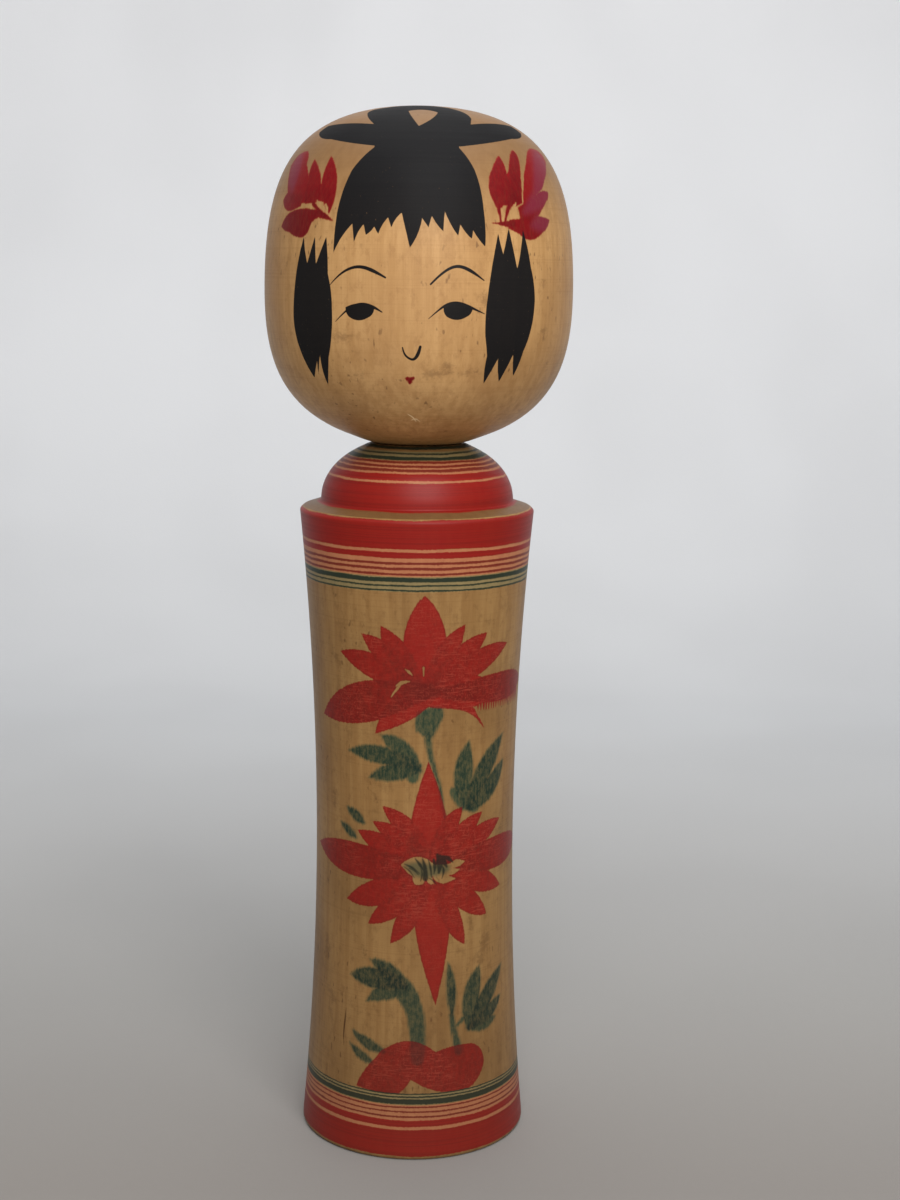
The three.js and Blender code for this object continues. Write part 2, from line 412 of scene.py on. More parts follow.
ORNAMENTS = [
    patch((-27, 21), (-23, 23.4), (-19.5, 21), (-19.6, 18.8), (-22.8, 19.4), (-27.5, 18.8)),
    patch((24.4, 26), (25.6, 26.8), (28.8, 25), (27.5, 19.5), (24, 18.9), (22, 19), tone=0.8),
    patch((-22.8, 29.9, 0.12), (-18.3, 22, 0.08), (-19.4, 16.6), (-21.2, 18.5), (-23.2, 23.6, 0.05)),
    patch((-28.7, 29.3, 0.06), (-23.8, 24.8), (-22.6, 21), (-24, 18.8), (-28, 19), (-28.4, 24.6, 0.08)),
    patch(
        (-37.5, 31.3, 0.25), (-31.2, 28, 0.08), (-27.6, 23), (-27, 19), (-34, 19), (-36.8, 22.4),
        (-40.9, 28.2, 0.2), tone=0.8,
    ),
    patch((-37.8, 19.9, 0.15), (-32.2, 17.4), (-28.8, 18.3), (-28, 21), (-35.6, 21.8, 0.1)),
    patch(
        (-36.2, 14, 0.08), (-32.3, 12.8, 0.04), (-28.2, 11.5, 0.2), (-24.7, 13.8, -0.12), (-22.4, 15.8),
        (-18, 15, 0.05), (-21.5, 17.3), (-24.2, 17.7, 0.05), (-32.1, 17.3, 0.12), tone=1.3,
    ),
    line((-24.6, 18.9, 0.5), (-21.6, 16.9, 0.42), (-18.2, 15.2, 0.1), tone=1.3),
    patch(
        (23.8, 30.4, 0.08), (24.6, 26), (26.5, 20), (24.5, 18.8), (22, 18.8), (20.5, 17.6, 0.06),
        (18.6, 22, 0.1), (20.6, 27.2, 0.05), tone=1.1,
    ),
    patch(
        (30, 32.2, 0.15), (30.6, 30, 0.02), (28.8, 25.2), (27.6, 19.5), (25.3, 18.6), (25.2, 26.3, 0.04),
        (27.2, 29.8, 0.1), tone=1.2,
    ),
    patch(
        (34.8, 30.8, 0.12), (42.5, 33, 0.1), (46.6, 31.6, 0.1), (43.5, 28.6, 0.03), (38.6, 25, 0.06),
        (33.9, 21.8), (27.5, 18), (28.5, 22), (30.3, 26, 0.02), tone=0.6,
    ),
    patch((38.8, 22.3, 0.12), (36.9, 20.2), (32.3, 16.6), (26.5, 15.5), (26, 18.5), (33.9, 21.9, 0.08)),
    patch(
        (36.9, 16.1, 0.1), (33.3, 13.1, 0.06), (29.5, 11.5, 0.1), (25.6, 12.8), (22.6, 13.9),
        (23.5, 15.8), (32.2, 16.8, 0.03),
    ),
    line((18.6, 15, 0.08), (20.9, 14.9, 0.4), (24, 14.9, 1), tone=1.2),
    line((20.6, 17.9, 0.5), (20.8, 16.5, 0.3), (20.9, 15.2, 0.3), tone=1.2),
    line((25.5, 21, 1), (23.1, 18, 0.5), (22, 15.2, 0.3), tone=1.2),
]
ORNAMENT_SLITS = [
    line((-28.6, 18, 0.15), (-26.9, 18.4, 0.38), (-25.1, 18.1, 0.36), (-24, 17.7, 0.12)),
    line((-23.5, 19.6, 0.2), (-22.5, 18.5, 0.34), (-21.4, 17.4, 0.16)),
    line((-20.7, 18.6, 0.3), (-20.2, 17.8, 0.3), (-19.9, 17, 0.1)),
    line((22.1, 18.5, 0.35), (21.6, 17, 0.42), (21.4, 15.9, 0.12)),
    line((25.7, 19.5, 0.12), (24.3, 17.6, 0.42), (23, 15.7, 0.15)),
]
ROSE_TINT = [
    petal((-34, 22), (-38.6, 31.6), 3),
    petal((32, 20), (43.5, 32.6), 4.2, -0.05, 0.6),
    petal((28, 17.5), (38.9, 22.4), 2.8, 0.03, 0.62),
    petal((30, 14.6), (37.1, 15.9), 2.6, 0.02, 0.6),
]

# --- What is painted on the crown, seen from above: x to the side, y backwards ---

TOPKNOT = [patch(
    (-23.6, -11.2, 0.12), (-21, -20, 0.08), (-9, -30.2, 0.03), (9.6, -29.8, 0.08), (21.6, -18, 0.12),
    (23.6, -9.6, 0.06), (21, -8.8, -0.04), (11.4, -20.8), (11.5, -17.5, 0.1), (7.4, -11.5, 0.2),
    (-7.4, -9.2, 0.2), (-11.8, -13, 0.06), (-10.4, -21.7, -0.05), (-21.2, -10.4, 0.08),
)]
CROWN_DIAMOND = [patch((-0.3, -24.9, 0.04), (-2.6, -16.5, 0.2), (3.9, -17.2, 0.1))]

# --- Surfaces ---

NECK_REACH = 10.0  # everything nearer the axis than this is peg or socket
SAME_RING = 0.03  # rings nearer than this are one
OUTLINE_STEP = 0.05
SHARP_TURN = 0.42  # radians: the outline is smooth where it turns less than this at a ring
UNEVEN = 2.5  # beside a much longer stretch, a third of that turn is a corner too
EDGE_WEAR = 0.22  # how far the turned corners are worn round
CELL = 1.6
ROW_TURN = 0.1  # radians the outline may turn within one row of cells
SHORTEST_ROW = 0.12
FINE_LEVEL = 3  # how often cells are halved along painted edges
FINEST_LEVEL = 4  # and along the lines of the face
DYE_LEVEL = 2  # and where there is dye
EDGE_CELLS, EDGE_MARGIN = 0.75, 0.05  # how near a cell's middle an edge lies, in cells and mm
DYE_MARGIN = 0.4  # and how near dye lies, in mm
OVAL, LOBED = 0.045, 0.025  # how far seasoned wood has moved out of round


def node_rings(node):
    """The rings of a turned node as rows of (radius, height), each of them once."""
    places = np.array([v.co for v in node.data.vertices]) / MM
    rings = np.c_[np.hypot(places[:, 0], places[:, 1]), places[:, 2]]
    rings = np.unique(np.round(rings, 2), axis=0)
    gaps = np.hypot(*np.diff(rings, axis=0).T)
    return rings[np.r_[True, gaps > SAME_RING]]


def head_corners(rings):
    """From the peg's tip up and over the crown."""
    return rings[np.lexsort((rings[:, 0], rings[:, 1]))]


def body_corners(rings):
    """From under the base, up the outside, over the dome and down into the socket."""
    inner = rings[:, 0] < NECK_REACH
    outside = rings[~inner]
    inside = rings[inner]
    upward = outside[np.argsort(outside[:, 1])]
    downward = inside[np.lexsort((-inside[:, 0], -inside[:, 1]))]
    return np.vstack([downward[-1], upward, downward[:-1]])


def sharp_corners(corners):
    """Where the outline has an edge. Elsewhere it runs on smoothly through its rings."""
    steps = np.diff(corners, axis=0)
    lengths = np.hypot(*steps.T)
    headings = np.unwrap(np.arctan2(steps[:, 1], steps[:, 0]))
    turns = np.abs(np.diff(headings))
    uneven = np.maximum(lengths[1:] / lengths[:-1], lengths[:-1] / lengths[1:]) > UNEVEN
    sharp = (turns > SHARP_TURN) | (uneven & (turns > SHARP_TURN / 3))
    return [0, *(np.nonzero(sharp)[0] + 1), len(corners) - 1]


def fine_outline(corners):
    """Close points along the outline, with its edges worn round."""
    ends = sharp_corners(corners)
    stretches = []
    for start, end in zip(ends, ends[1:]):
        curve = Spline(corners[start : end + 1])
        count = max(2, round(curve.length / OUTLINE_STEP))
        stretches.append(curve.at(np.linspace(0, curve.length, count, endpoint=False))[0])
    points = np.vstack([*stretches, corners[-1:]])
    reach = round(4 * EDGE_WEAR / OUTLINE_STEP)
    kernel = np.exp(-((np.arange(-reach, reach + 1) * OUTLINE_STEP / EDGE_WEAR) ** 2) / 2)
    kernel /= kernel.sum()
    across_axis = np.array([-1, 1])
    padded = np.vstack(
        [points[reach:0:-1] * across_axis, points, points[-2 : -reach - 2 : -1] * across_axis]
    )
    worn = np.stack([np.convolve(padded[:, k], kernel, "valid") for k in (0, 1)], -1)
    worn[[0, -1], 0] = 0.0
    return worn


class Turning:
    """A turned surface, and the grid of cells that it is cut into.

    A place on the grid is (column, row). Columns count round from the back, and rows along the
    outline, closer together where it bends.
    """

    def __init__(self, corners):
        self.outline = fine_outline(corners)
        self.arc = np.r_[0, np.cumsum(np.hypot(*np.diff(self.outline, axis=0).T))]
        slope = np.gradient(self.outline, self.arc, axis=0)
        self.slope = slope / np.hypot(*slope.T)[:, None]
        headings = np.unwrap(np.arctan2(self.slope[:, 1], self.slope[:, 0]))
        bend = np.abs(np.gradient(headings, self.arc))
        density = np.clip(bend / ROW_TURN, 1 / CELL, 1 / SHORTEST_ROW)
        spread = round(1 / OUTLINE_STEP)
        density = np.convolve(np.pad(density, spread, "edge"), np.ones(2 * spread + 1), "valid")
        count = np.r_[0, np.cumsum((density[1:] + density[:-1]) / 2 * np.diff(self.arc))]
        self.rows = math.ceil(count[-1] / (2 * spread + 1))
        self.count = count / count[-1] * self.rows
        self.columns = round(math.tau * self.outline[:, 0].max() / CELL)
        self.widest = self.arc[self.outline[:, 0].argmax()]

    def at(self, column, row):
        """The angle from the front, the way along the outline, the radius, the height and the
        outline's slope at places on the grid."""
        angle = (column / self.columns - 0.5) * math.tau
        arc = np.interp(row, self.count, self.arc)
        radius, height, out, rise = (
            np.interp(arc, self.arc, values) for values in (*self.outline.T, *self.slope.T)
        )
        return angle, arc, radius, height, (out, rise)


def neighbours(mask):
    """The mask grown by one cell on every side. Columns run right round."""
    grown = mask | np.roll(mask, 1, 0) | np.roll(mask, -1, 0)
    result = grown.copy()
    result[:, 1:] |= grown[:, :-1]
    result[:, :-1] |= grown[:, 1:]
    return result


def refine(surface, paint):
    """Which cells are halved at each level, so that they are small along the painted edges."""
    splits = []
    present = np.ones((surface.columns, surface.rows), bool)
    for level in range(FINEST_LEVEL):
        column, row = np.nonzero(present)
        scale = 2**level
        angle, arc, _, height, _ = surface.at((column + 0.5) / scale, (row + 0.5) / scale)
        layers = paint(surface, angle, arc, height)
        size = CELL / scale
        edges = [layers["ink"]]
        if level < FINE_LEVEL:
            edges = [value for name, value in layers.items() if name not in SOFT]
        near = np.min(np.abs(edges), axis=0) < EDGE_CELLS * size + EDGE_MARGIN
        if level < DYE_LEVEL:
            near |= np.min([layers[name] for name in DYES if name in layers], axis=0) < DYE_MARGIN
        split = np.zeros_like(present)
        split[column, row] = near
        splits.append(split)
        present = split.repeat(2, 0).repeat(2, 1)
    for level in range(FINEST_LEVEL - 1, 0, -1):
        grown = neighbours(splits[level])
        columns, rows = splits[level - 1].shape
        splits[level - 1] |= grown.reshape(columns, 2, rows, 2).any((1, 3))
    return splits


def leaf_cells(surface, splits):
    """Each level's uncut cells, as their low column, low row and size on the finest grid."""
    present = np.ones((surface.columns, surface.rows), bool)
    leaves = []
    for level in range(FINEST_LEVEL + 1):
        split = splits[level] if level < FINEST_LEVEL else np.zeros_like(present)
        size = 2 ** (FINEST_LEVEL - level)
        column, row = np.nonzero(present & ~split)
        leaves.append((column * size, row * size, size))
        present = split.repeat(2, 0).repeat(2, 1)
    return leaves


def faces_of(surface, leaves):
    """Faces as their corners on the finest grid. A cell beside smaller ones becomes a fan, so
    that no corner lies in the middle of a neighbour's side."""
    columns = surface.columns * 2**FINEST_LEVEL
    rows = surface.rows * 2**FINEST_LEVEL
    used = np.zeros((columns, rows + 1), bool)
    for column, row, size in leaves:
        for across, up in ((0, 0), (size, 0), (size, size), (0, size)):
            used[(column + across) % columns, row + up] = True
    quads, triangles = [], []
    for column, row, size in leaves:
        half = size // 2
        ring = [(0, 0), (size, 0), (size, size), (0, size)]
        middles = [(half, 0), (size, half), (half, size), (0, half)]
        corners = [np.stack([column + a, row + b], -1) for a, b in ring]
        mids = [np.stack([column + a, row + b], -1) for a, b in middles]
        hangs = np.array([used[m[:, 0] % columns, m[:, 1]] & (half > 0) for m in mids])
        pole = (row == 0) | (row + size == rows)
        whole = ~hangs.any(0) & ~pole
        quads.append(np.stack([c[whole] for c in corners], 1))
        centre = np.stack([column + half, row + half], -1)
        for side in range(4):
            start, end = corners[side], corners[(side + 1) % 4]
            cut = hangs[side] & ~whole
            plain = ~hangs[side] & ~whole
            fans = ((plain, start, end), (cut, start, mids[side]), (cut, mids[side], end))
            for which, a, b in fans:
                triangles.append(np.stack([centre[which], a[which], b[which]], 1))
    triangles = np.vstack(triangles)
    ends = triangles[:, 1:, 1]
    flat = (ends == 0).all(1) | (ends == rows).all(1)
    return np.vstack(quads), triangles[~flat]


def add_layer(mesh, name, values):
    attribute = mesh.attributes.new(name, "FLOAT", "POINT")
    attribute.data.foreach_set("value", values.astype(np.float32))


def turned_mesh(name, surface, paint):
    """The turned surface as a mesh, with the paint's layers as attributes of its points."""
    quads, triangles = faces_of(surface, leaf_cells(surface, refine(surface, paint)))
    scale = 2**FINEST_LEVEL
    columns, rows = surface.columns * scale, surface.rows * scale
    places = np.vstack([quads.reshape(-1, 2), triangles.reshape(-1, 2)])
    column = np.where((places[:, 1] == 0) | (places[:, 1] == rows), 0, places[:, 0] % columns)
    keys, numbers = np.unique(column * (rows + 1) + places[:, 1], return_inverse=True)
    column, row = np.divmod(keys, rows + 1)
    angle, arc, radius, height, (out, rise) = surface.at(column / scale, row / scale)
    layers = paint(surface, angle, arc, height)
    outward = np.stack([rise * np.sin(angle), -rise * np.cos(angle), -out], -1)
    spot = np.stack([radius * np.sin(angle), -radius * np.cos(angle), height], -1)
    relief = turning_error(angle, height, radius) - layers.pop("dent", 0.0)
    spot += relief[:, None] * outward
    split = quads.shape[0] * 4
    faces = [*numbers[:split].reshape(-1, 4).tolist(), *numbers[split:].reshape(-1, 3).tolist()]
    mesh = bpy.data.meshes.new(name)
    mesh.from_pydata((spot * MM).tolist(), [], faces)
    mesh.polygons.foreach_set("use_smooth", np.ones(len(faces), bool))
    mesh.normals_split_custom_set_from_vertices(outward.tolist())
    for layer, values in layers.items():
        add_layer(mesh, layer, values)
    _, along, _, _, _ = surface.at(places[:, 0] / scale, places[:, 1] / scale)
    unrolled = np.stack([places[:, 0] / columns, along / surface.arc[-1]], -1)
    mesh.uv_layers.new(name="OFBake").data.foreach_set("uv", unrolled.ravel())
    return mesh


def turning_error(angle, height, radius):
    """Seasoned wood is never quite round. The fit at the neck is left alone."""
    swell = OVAL * np.sin(2 * angle + 1.1) + LOBED * np.sin(3 * angle + height / 23)
    return np.where(radius > NECK_REACH + 2, swell, 0.0)


# --- Where the paint lies ---

FLOWERS = UPPER_FLOWER + MIDDLE_FLOWER + FOOT_CLOUD
GREENERY = LEAVES + STEMS
DYES = ("red", "green", "rose", "stain")
SOFT = ("red_depth", "green_depth", "dent", "stain", "rose", "wash")
BODY_ROUND = 25.0  # the body's strokes are laid out on a roll of this radius
HEAD_ROUND = 35.5
FACE_TURN = -2.0  # the face's middle is this far round from the front
CRACK_DEPTH, CRACK_SIDE = 0.25, 0.2


def body_paint(surface, angle, arc, height):
    """The distance to each kind of paint on the body, and the depth of the dyes."""
    spots = np.stack([angle * BODY_ROUND, height], -1)
    bare = edge_distance(FLOWER_HEART + UPPER_SLITS, spots)
    crack = edge_distance(CRACK, spots)
    return {
        "red": np.maximum(edge_distance(FLOWERS, spots), -bare),
        "green": edge_distance(GREENERY, spots),
        "ink": edge_distance(STAMENS, spots),
        "crack": crack,
        "wash": edge_distance(HEART_WASH, spots),
        "stain": edge_distance(BODY_STAINS, spots),
        "red_depth": dye_depth(FLOWERS, spots),
        "green_depth": dye_depth(GREENERY, spots),
        "dent": CRACK_DEPTH * np.clip(0.5 - crack / CRACK_SIDE, 0, 1),
    }


def head_paint(surface, angle, arc, height):
    """The distance to each kind of paint on the head, and the depth of the dyes."""
    spots = np.stack([angle * HEAD_ROUND - FACE_TURN, arc - surface.widest], -1)
    from_top = surface.arc[-1] - arc
    crown = np.stack([from_top * np.sin(angle), -from_top * np.cos(angle)], -1)
    hair = np.maximum(edge_distance(TOPKNOT, crown), -edge_distance(CROWN_DIAMOND, crown))
    red = np.maximum(edge_distance(ORNAMENTS, spots), -edge_distance(ORNAMENT_SLITS, spots))
    return {
        "black": np.minimum(hair, edge_distance(FRINGE + SIDE_LOCKS, spots)),
        "ink": edge_distance(FACE_LINES + IRISES, spots),
        "red": np.minimum(red, edge_distance(MOUTH, spots)),
        "rose": edge_distance(ROSE_TINT, spots),
        "stain": edge_distance(HEAD_STAINS, spots),
        "scratch": edge_distance(CHIN_SCRATCHES, spots),
        "red_depth": dye_depth(ORNAMENTS + MOUTH, spots),
    }


# --- Materials ---

BAND_EDGE = 0.1  # the height over which a band of tone sets in


def srgb(red, green, blue):
    """A colour from its screen values, 0 to 255."""
    values = [v / 255 for v in (red, green, blue)]
    linear = [v / 12.92 if v < 0.04045 else ((v + 0.055) / 1.055) ** 2.4 for v in values]
    return (*linear, 1)


class Nodes:
    """A material's nodes, with a short way to add each kind. place is in millimetres."""

    def __init__(self, name):
        self.material = bpy.data.materials.new(name)
        self.material.use_nodes = True
        self.tree = self.material.node_tree
        self.shader = self.tree.nodes["Principled BSDF"]
        here = self.add("TexCoord", {}, "Object")
        self.place = self.add("VectorMath", {0: here, "Scale": 1 / MM}, operation="SCALE")

    def add(self, kind, inputs, output=0, **settings):
        node = self.tree.nodes.new("ShaderNode" + kind)
        for name, value in settings.items():
            setattr(node, name, value)
        for socket, value in inputs.items():
            self.put(node.inputs[socket], value)
        return node.outputs[output]

    def put(self, socket, value):
        """Sets or links a socket. A name stands for the painted layer that the mesh carries."""
        if isinstance(value, str):
            value = self.add("Attribute", {}, "Fac", attribute_name=value)
        if isinstance(value, bpy.types.NodeSocket):
            self.tree.links.new(value, socket)
        else:
            socket.default_value = value

    def math(self, operation, *values, clamp=False):
        sockets = dict(enumerate(values))
        return self.add("Math", sockets, operation=operation, use_clamp=clamp)

    def noise(self, stretch, detail=2.0, roughness=0.5):
        """Soft noise from 0 to 1, about 0.5. stretch is how many times it changes in each
        millimetre, across and along the grain."""
        across, along = stretch
        squeeze = {0: self.place, 1: (across, across, along)}
        squeezed = self.add("VectorMath", squeeze, operation="MULTIPLY")
        inputs = {"Vector": squeezed, "Scale": 1, "Detail": detail, "Roughness": roughness}
        return self.add("TexNoise", inputs, "Fac")

    def step(self, value, low, high, to_low=0.0, to_high=1.0):
        """A soft step: to_low where value is under low, to_high where it is over high."""
        inputs = {0: value, 1: low, 2: high, 3: to_low, 4: to_high}
        return self.add("MapRange", inputs, interpolation_type="SMOOTHSTEP")

    def between(self, value, low, high, most=1.0):
        """most where value is from low to high, and 0 elsewhere."""
        above = self.step(value, low, low + BAND_EDGE)
        return self.math("MULTIPLY", above, self.step(value, high - BAND_EDGE, high, most, 0))

    def shaken(self, value, noise, amount, middle=0.5):
        """value, moved by amount times noise's distance from its middle."""
        return self.math("MULTIPLY_ADD", self.math("SUBTRACT", noise, middle), amount, value)

    def mix(self, share, first, second):
        return self.add("Mix", {0: share, 6: first, 7: second}, 2, data_type="RGBA")

    def coat(self, colour, share, cover, tone):
        """colour under a coat of tone, which hides as much as cover where share is 1."""
        return self.mix(self.math("MULTIPLY", share, cover), colour, tone)

    def ramp(self, value, stops, interpolation="LINEAR"):
        """A colour for each value, from stops of (value, colour)."""
        low, high = stops[0][0], stops[-1][0]
        share = self.add("MapRange", {0: value, 1: low, 2: high})
        colour = self.add("ValToRGB", {0: share})
        ramp = colour.node.color_ramp
        ramp.interpolation = interpolation
        ramp.elements.remove(ramp.elements[1])
        ramp.elements[0].color = stops[0][1]
        for place, tone in stops[1:]:
            ramp.elements.new((place - low) / (high - low)).color = tone
        return colour

    def shade(self, settings):
        """Sets the shader's sockets, and gives the finished material."""
        for socket, value in settings.items():
            self.put(self.shader.inputs[socket], value)
        return self.material

    def bump(self, height, distance, strength=1.0, normal=None):
        """Relief, where a height of 1 stands out by distance, in millimetres."""
        inputs = {"Height": height, "Distance": distance * MM, "Strength": strength}
        if normal is not None:
            inputs["Normal"] = normal
        return self.add("Bump", inputs)


WOOD_HEAD = (srgb(204, 158, 102), srgb(184, 138, 84), srgb(150, 106, 60))
WOOD_BODY = (srgb(166, 127, 77), srgb(148, 109, 63), srgb(114, 80, 45))
SPECK = srgb(84, 52, 28)
SCRATCHED = srgb(250, 222, 172)
# painted highlight on the front of the face
FACE_HIGHLIGHT = srgb(228, 178, 128)
# painted shade, darkening the body towards its foot
FOOT_SHADE = srgb(62, 42, 28)
CROWN_BROWN = srgb(120, 88, 56)
CRIMSON_THIN, CRIMSON_DEEP = srgb(132, 7, 13), srgb(100, 4, 10)
RED_THIN, RED_DEEP = srgb(147, 17, 15), srgb(104, 8, 11)
RED_RUBBED = srgb(174, 66, 52)
ROSE = srgb(124, 34, 52)
GREEN_THIN, GREEN_DEEP = srgb(66, 77, 54), srgb(22, 40, 33)
GREEN_LINE = srgb(24, 42, 32)
LINE_BROWN = srgb(112, 24, 18)
BLACK = srgb(8, 10, 14)
STAMEN = srgb(26, 30, 24)

# (bottom, top, dye) of each ring painted on the body as it turned
FOOT_RINGS = [
    (1, 7.25, "red"), (8.05, 9.6, "red"), (10.25, 10.65, "brown"),
    (11.4, 11.8, "brown"), (12.55, 12.95, "brown"), (13.4, 14.7, "green"),
    (15, 15.4, "green"), (15.75, 16.1, "green"),
]
RIM_RINGS = [
    (135.1, 135.5, "green"), (136.2, 136.62, "green"), (137.25, 138.25, "green"),
    (138.75, 139.3, "brown"), (140, 140.6, "brown"), (141.2, 141.8, "brown"),
    (142.7, 144.05, "red"), (144.75, 151.28, "red"),
]
DOME_RINGS = [
    (152.5, 158.85, "red"), (159.3, 160.75, "red"), (161.15, 161.75, "brown"),
    (162.08, 162.58, "brown"), (162.9, 163.38, "brown"), (163.55, 164.25, "green"),
    # the last ring, just under the head, is painted shade where the head meets the dome, in the green
    # rings' colour
    (164.7, 164.98, "green"), (165.6, 166.15, "green"),
]
WASHED = [  # the wood between the rings, stained by dye that ran
    (7.25, 13.3, "red"), (13.3, 16.1, "green"), (135, 138.5, "green"),
    (138.5, 144.8, "red"), (158.8, 163.5, "red"), (163.5, 165.3, "green"),
]
WASHES = {"red": srgb(214, 124, 92), "green": srgb(136, 136, 98)}
RING_DYES = {"red": (1, 0, 0, 1), "green": (0, 1, 0, 1), "brown": (0, 0, 1, 1)}
NO_DYE = (0, 0, 0, 1)
LEDGE, LEDGE_TONE = (151.45, 152.9), srgb(104, 74, 44)  # bare wood, darkened
FOOT_SHADE_TOP = 95  # painted shade: the body is darker towards its foot, less and less up to this height
FACE_HIGHLIGHT_DEPTH = (-36, -22)  # painted highlight: the face is paler where it stands furthest forward
CROWN_HEIGHT = (210, 234)  # the crown is browner, from not at all up to its full tone
WOOD_ROUGHNESS, HAIR_ROUGHNESS, TURNED_ROUGHNESS = 0.38, 0.7, 0.12
TURNED_RELIEF, FIBRE_RELIEF = 0.012, 0.02  # how deep the lathe's lines and the fibres are
COMB_SWING = 2.6  # noise keeps near its middle: this spreads it to about 1 each way
SPECULAR, WAX, WAX_ROUGHNESS = 0.2, 0.03, 0.3


def rings_mask(nodes, height, rings):
    """How much red, green and brown dye the rings hold at a height in millimetres."""
    stops = [(rings[0][0] - 1, NO_DYE)]
    for bottom, top, dye in rings:
        stops += [(bottom, RING_DYES[dye]), (top, NO_DYE)]
    split = nodes.add("SeparateColor", {0: nodes.ramp(height, stops, "CONSTANT")}).node
    return [split.outputs[k] for k in range(3)]


def bare_wood(nodes, tones):
    """Aged, waxed wood: vertical grain, blotches, brown specks and faint turning lines."""
    light, middle, dark = tones
    fibres = nodes.noise((3.2, 0.12), 3, 0.6)
    turned = nodes.noise((0.02, 3.5), 2)
    patterns = (
        (nodes.noise((0.55, 0.018), 4, 0.6), 0.34, 0.68, 0.85, middle),  # streaks
        (nodes.noise((0.045, 0.03), 3), 0.42, 0.72, 0.45, dark),  # clouds
        (nodes.noise((0.5, 0.35), 4, 0.7), 0.48, 0.7, 0.4, dark),  # grime
        (fibres, 0.5, 0.75, 0.16, dark),
        (turned, 0.5, 0.75, 0.2, dark),
    )
    colour = light
    for pattern, low, high, most, tone in patterns:
        colour = nodes.mix(nodes.step(pattern, low, high, 0, most), colour, tone)
    freckles = nodes.noise((1.1, 0.5), 1)
    crowd = nodes.step(nodes.noise((0.09, 0.06), 2), 0.45, 0.62, 0, 0.6)
    colour = nodes.coat(colour, nodes.step(freckles, 0.66, 0.76), crowd, SPECK)
    return colour, fibres, turned


def stains(nodes):
    """How dark the old stains are."""
    cloud = nodes.noise((0.8, 1.1), 4, 0.7)
    torn = nodes.shaken("stain", cloud, 5)
    return nodes.step(torn, -0.9, 0.9, 0.36, 0)


def grain_edge(nodes, distance, soft, ragged):
    """1 inside a painted edge, which wicks along the grain by up to ragged millimetres."""
    comb = nodes.noise((2.4, 0.22), 3, 0.65)
    wicked = nodes.shaken(distance, comb, COMB_SWING * ragged)
    return nodes.step(wicked, -soft, soft, 1, 0)


def finish_surface(nodes, colour, roughness, fibres, turned):
    """Waxed wood takes a soft shine, broken by the fine lines of the lathe."""
    shine = nodes.math("MULTIPLY_ADD", turned, TURNED_ROUGHNESS, roughness)
    relief = nodes.bump(fibres, FIBRE_RELIEF, normal=nodes.bump(turned, TURNED_RELIEF))
    wax = {"Specular IOR Level": SPECULAR, "Coat Weight": WAX, "Coat Roughness": WAX_ROUGHNESS}
    return nodes.shade({"Base Color": colour, "Roughness": shine, "Normal": relief, **wax})


def red_dye(nodes):
    """Thin red dye, deeper where more of it lies, and rubbed through by fine scratches."""
    mottle = nodes.noise((0.9, 0.6), 4, 0.75)
    depth = nodes.math("MULTIPLY_ADD", mottle, 1.4, "red_depth")
    tone = nodes.mix(nodes.step(depth, 1.35, 2.4), RED_THIN, RED_DEEP)
    scratches = nodes.step(nodes.noise((0.35, 3), 4, 0.7), 0.5, 0.64)
    fibres = nodes.step(nodes.noise((3, 0.6), 2, 0.6), 0.56, 0.7, 0, 0.7)
    specks = nodes.step(nodes.noise((2.6, 2.2), 3, 0.8), 0.52, 0.68)
    thin = nodes.math("MAXIMUM", nodes.math("MAXIMUM", scratches, fibres), specks)
    worn = nodes.step(nodes.noise((0.07, 0.07), 2), 0.4, 0.62, 0.16, 0.62)
    return nodes.coat(tone, thin, worn, RED_RUBBED)


def green_dye(nodes):
    """How strongly the leaves' patchy dye covers the wood, and its colour."""
    mottle = nodes.noise((1.3, 0.7), 4, 0.7)
    comb = nodes.noise((2.4, 0.16), 3, 0.7)
    load = nodes.math("MULTIPLY_ADD", comb, 0.45, nodes.math("MULTIPLY", mottle, 0.95))
    edge = grain_edge(nodes, "green", 0.5, 0.45)
    strength = nodes.math("MULTIPLY_ADD", load, 0.9, 0.32)
    depth = nodes.shaken("green_depth", load, 1.6, 0.7)
    tone = nodes.mix(nodes.step(depth, 0.5, 1.5), GREEN_THIN, GREEN_DEEP)
    return nodes.math("MULTIPLY", edge, strength, clamp=True), tone


def crimson_dye(nodes):
    """How strongly the dye of the hair ornaments and the mouth covers, and its colour."""
    mottle = nodes.noise((1.6, 0.4), 4, 0.7)
    comb = nodes.noise((2.4, 0.16), 3, 0.7)
    edge = grain_edge(nodes, "red", 0.2, 0.22)
    strength = nodes.math("MULTIPLY_ADD", mottle, -0.2, 1.09, clamp=True)
    depth = nodes.math("MULTIPLY_ADD", comb, 1.2, "red_depth")
    tone = nodes.mix(nodes.step(depth, 1.1, 2.3), CRIMSON_THIN, CRIMSON_DEEP)
    tone = nodes.mix(nodes.step("rose", -1.6, 0.6, 0.9, 0), tone, ROSE)
    return nodes.math("MULTIPLY", edge, strength), tone


def add_flowers(nodes, colour):
    """Leaves first, then the flowers, darker at their edges and where they cross a leaf."""
    green, green_tone = green_dye(nodes)
    colour = nodes.mix(green, colour, green_tone)
    colour = nodes.mix(nodes.step("wash", -0.9, 0.7, 0.72, 0), colour, GREEN_THIN)
    pooled = nodes.step("red", -0.5, -0.05, 0, 0.5)
    red_tone = nodes.mix(pooled, red_dye(nodes), RED_DEEP)
    red_tone = nodes.coat(red_tone, green, 0.45, GREEN_DEEP)
    red = grain_edge(nodes, "red", 0.14, 0.22)
    colour = nodes.coat(colour, red, 0.95, red_tone)
    return nodes.mix(nodes.step("ink", -0.25, 0.2, 0.85, 0), colour, STAMEN)


